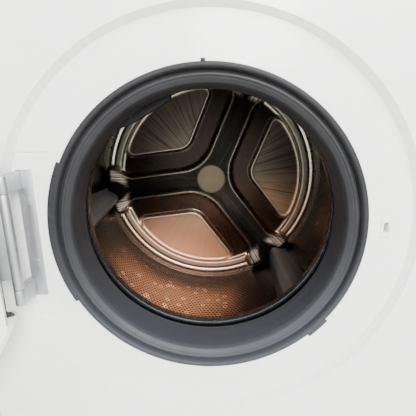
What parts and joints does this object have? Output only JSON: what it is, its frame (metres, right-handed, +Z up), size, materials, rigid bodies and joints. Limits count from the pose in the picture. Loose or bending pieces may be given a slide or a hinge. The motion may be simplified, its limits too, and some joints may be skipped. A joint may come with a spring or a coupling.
{
  "type": "front load washing machine",
  "caption": "Free-standing front load washing machine with its round door open, showing the rubber door seal and a stainless drum with a pressed star-shaped back and plastic lifters.",
  "frame": {"origin": "on the floor under the middle of the cabinet", "axes": "+X to the machine's right seen from the front, +Y to the rear, +Z up; the front faces -Y"},
  "size_m": [0.9284, 0.8555, 0.848],
  "materials": {
    "white_enamel": "smooth gloss enamel",
    "galvanised_steel": "zinc coated",
    "white_laminate": "satin white laminate",
    "white_plastic": "smooth",
    "dark_window": "smoked gloss",
    "charcoal_plastic": "fine moulded grain",
    "black_plastic": "moulded",
    "tub_plastic": "mineral filled moulding",
    "seal_rubber": "smooth grey rubber",
    "black_rubber": "matt",
    "drum_steel": "bright rolled stainless",
    "cap_plastic": "satin",
    "cast_alloy": "as cast",
    "bright_steel": "ground",
    "hinge_alloy": "satin",
    "concrete": "cast ballast",
    "bowl_glass": "clear pressed glass",
    "trim_chrome": "polished",
    "fascia_white": "smooth",
    "element_steel": "heat tinted"
  },
  "bodies": {
    "cabinet": {"side_panel_left": "white_enamel", "side_panel_right": "white_enamel", "rear_wall": "galvanised_steel", "rear_cover": "galvanised_steel", "cabinet_screws": "bright_steel", "base_frame": "galvanised_steel", "worktop": "white_laminate", "top_brace": "galvanised_steel", "front_panel": "white_enamel", "door_lock": "white_plastic", "hinge_bracket": "hinge_alloy", "door_seal": "seal_rubber", "spray_nozzle": "charcoal_plastic", "control_fascia": "fascia_white", "display_window": "dark_window", "control_module": "black_plastic", "dispenser_housing": "white_plastic", "inlet_valve": "white_plastic", "mains_inlet": "black_plastic", "kick_plate": "white_plastic", "drain_pump": "black_plastic", "drain_hose": "charcoal_plastic", "suspension_springs": "bright_steel", "damper_cylinders": "black_plastic", "fill_hose": "black_rubber", "sump_hose": "black_rubber"},
    "tub": {"tub_front": "tub_plastic", "tub_rear": "tub_plastic", "tub_bolts": "bright_steel", "front_weight": "concrete", "drum_bearings": "bright_steel", "shaft_seal": "black_rubber", "heater": "element_steel", "motor_body": "galvanised_steel", "drive_belt": "black_rubber", "damper_rods": "bright_steel"},
    "drum": {"drum_front": "drum_steel", "drum_shell": "drum_steel", "drum_back": "drum_steel", "hub_cap": "cap_plastic", "drum_lifters": "charcoal_plastic", "drum_spider": "cast_alloy", "drum_shaft": "bright_steel", "drum_pulley": "cast_alloy"},
    "rotor": {"motor_rotor": "bright_steel"},
    "door": {"door_outer_ring": "trim_chrome", "door_inner_ring": "white_plastic", "door_glass": "bowl_glass", "hinge_arm": "hinge_alloy"},
    "hook": {"door_hook": "bright_steel"},
    "drawer": {"detergent_drawer": "fascia_white"},
    "knob": {"program_knob": "trim_chrome"},
    "start": {"start_button": "trim_chrome"},
    "option": {"option_button": "trim_chrome"},
    "flap": {"filter_flap": "white_plastic"},
    "filter": {"pump_filter": "charcoal_plastic"},
    "foot_front_left": {"foot_1": "black_rubber"},
    "foot_front_right": {"foot_2": "black_rubber"},
    "foot_rear_left": {"foot_3": "black_rubber"},
    "foot_rear_right": {"foot_4": "black_rubber"}
  },
  "joints": [
    {"name": "tub_bounce", "type": "slide", "parent": "cabinet", "child": "tub", "axis": [0, 0, 1], "range_m": [-0.01, 0.01], "stiffness_N_per_m": 12000, "springref_m": 0.02579, "deforming": ["suspension_springs", "fill_hose", "sump_hose", "door_seal"]},
    {"name": "drum_spin", "type": "hinge", "parent": "tub", "child": "drum", "pos_m": [0, 0, 0.445], "axis": [0, 1, 0], "continuous": true},
    {"name": "motor_spin", "type": "hinge", "parent": "tub", "child": "rotor", "pos_m": [-0.09, 0, 0.112], "axis": [0, 1, 0], "continuous": true},
    {"name": "door_hinge", "type": "hinge", "parent": "cabinet", "child": "door", "pos_m": [-0.226, -0.297, 0.445], "axis": [0, 0, 1], "range_deg": [0, 150]},
    {"name": "hook_pivot", "type": "hinge", "parent": "door", "child": "hook", "pos_m": [-0.60903, -0.51757, 0.4465], "axis": [0.866, 0.5, 0], "range_deg": [0, 3], "stiffness_Nm_per_rad": 0.5},
    {"name": "drawer_slide", "type": "slide", "parent": "cabinet", "child": "drawer", "axis": [0, -1, 0], "range_m": [0, 0.18]},
    {"name": "knob_turn", "type": "hinge", "parent": "cabinet", "child": "knob", "pos_m": [0.025, -0.28, 0.77], "axis": [0, -1, 0], "continuous": true},
    {"name": "start_press", "type": "slide", "parent": "cabinet", "child": "start", "axis": [0, 1, 0], "range_m": [0, 0.002], "stiffness_N_per_m": 500},
    {"name": "option_press", "type": "slide", "parent": "cabinet", "child": "option", "axis": [0, 1, 0], "range_m": [0, 0.002], "stiffness_N_per_m": 500},
    {"name": "flap_hinge", "type": "hinge", "parent": "cabinet", "child": "flap", "pos_m": [0.2, -0.2735, 0.0425], "axis": [1, 0, 0], "range_deg": [0, 90]},
    {"name": "filter_turn", "type": "hinge", "parent": "cabinet", "child": "filter", "pos_m": [0.2, -0.26, 0.084], "axis": [0, -1, 0], "range_deg": [0, 90]},
    {"name": "foot_front_left_screw", "type": "slide", "parent": "cabinet", "child": "foot_front_left", "axis": [0, 0, -1], "range_m": [0, 0.015]},
    {"name": "foot_front_right_screw", "type": "slide", "parent": "cabinet", "child": "foot_front_right", "axis": [0, 0, -1], "range_m": [0, 0.015]},
    {"name": "foot_rear_left_screw", "type": "slide", "parent": "cabinet", "child": "foot_rear_left", "axis": [0, 0, -1], "range_m": [0, 0.015]},
    {"name": "foot_rear_right_screw", "type": "slide", "parent": "cabinet", "child": "foot_rear_right", "axis": [0, 0, -1], "range_m": [0, 0.015]}
  ],
  "couplings": [
    {"joint": "motor_spin", "follows": "drum_spin", "ratio": 12.727}
  ]
}
